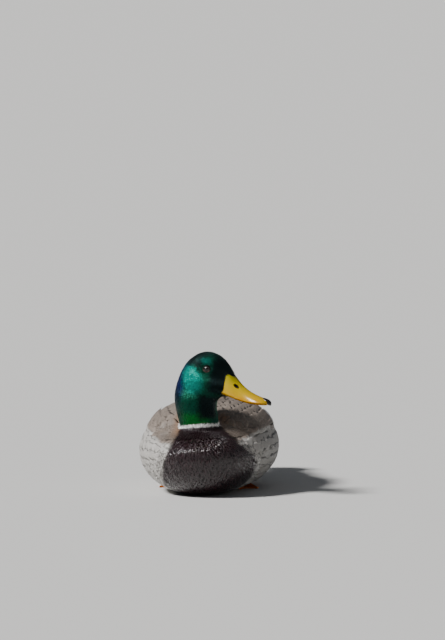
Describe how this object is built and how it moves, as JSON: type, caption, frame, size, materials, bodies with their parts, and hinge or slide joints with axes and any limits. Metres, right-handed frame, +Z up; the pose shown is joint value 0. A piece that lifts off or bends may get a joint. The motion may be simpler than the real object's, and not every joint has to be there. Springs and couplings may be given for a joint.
{
  "type": "drake mallard duck",
  "caption": "Drake mallard with a green head, yellow bill and pale grey flanks, sitting on its belly with its head turned to its left and its feet tucked under.",
  "frame": {"origin": "on the floor under the middle of the bird's box", "axes": "+Z up, the bird heads along -Y and its own left side is +X; the longest side lies along Y"},
  "size_m": [0.1851, 0.413, 0.1885],
  "materials": {
    "green_plumage": "velvety green feathers with a blue to green gloss",
    "body_plumage": "chestnut breast feathers and finely barred pale grey flank feathers",
    "black_plumage": "glossy black feathers",
    "tail_feathers": "whitish feathers with grey centres",
    "wing_plumage": "grey brown feathers with a blue bar edged black and white",
    "flight_feathers": "dark grey brown flight feathers",
    "eye_brown": "wet dark brown eye",
    "bill_yellow": "smooth yellow bill with an ochre base",
    "nail_black": "black horn",
    "orange_skin": "orange scaled skin and webs"
  },
  "bodies": {
    "root": {"head": "green_plumage", "neck": "green_plumage", "trunk": "body_plumage", "tail_base": "black_plumage", "tail": "tail_feathers", "curl_left": "black_plumage", "curl_right": "black_plumage", "wing_left": "wing_plumage", "wing_right": "wing_plumage", "wing_tip_left": "flight_feathers", "wing_tip_right": "flight_feathers", "eye_left": "eye_brown", "eye_right": "eye_brown", "bill_upper": "bill_yellow", "bill_lower": "bill_yellow", "bill_nail": "nail_black", "leg_left": "orange_skin", "leg_right": "orange_skin", "foot_left": "orange_skin", "foot_right": "orange_skin"}
  },
  "joints": []
}
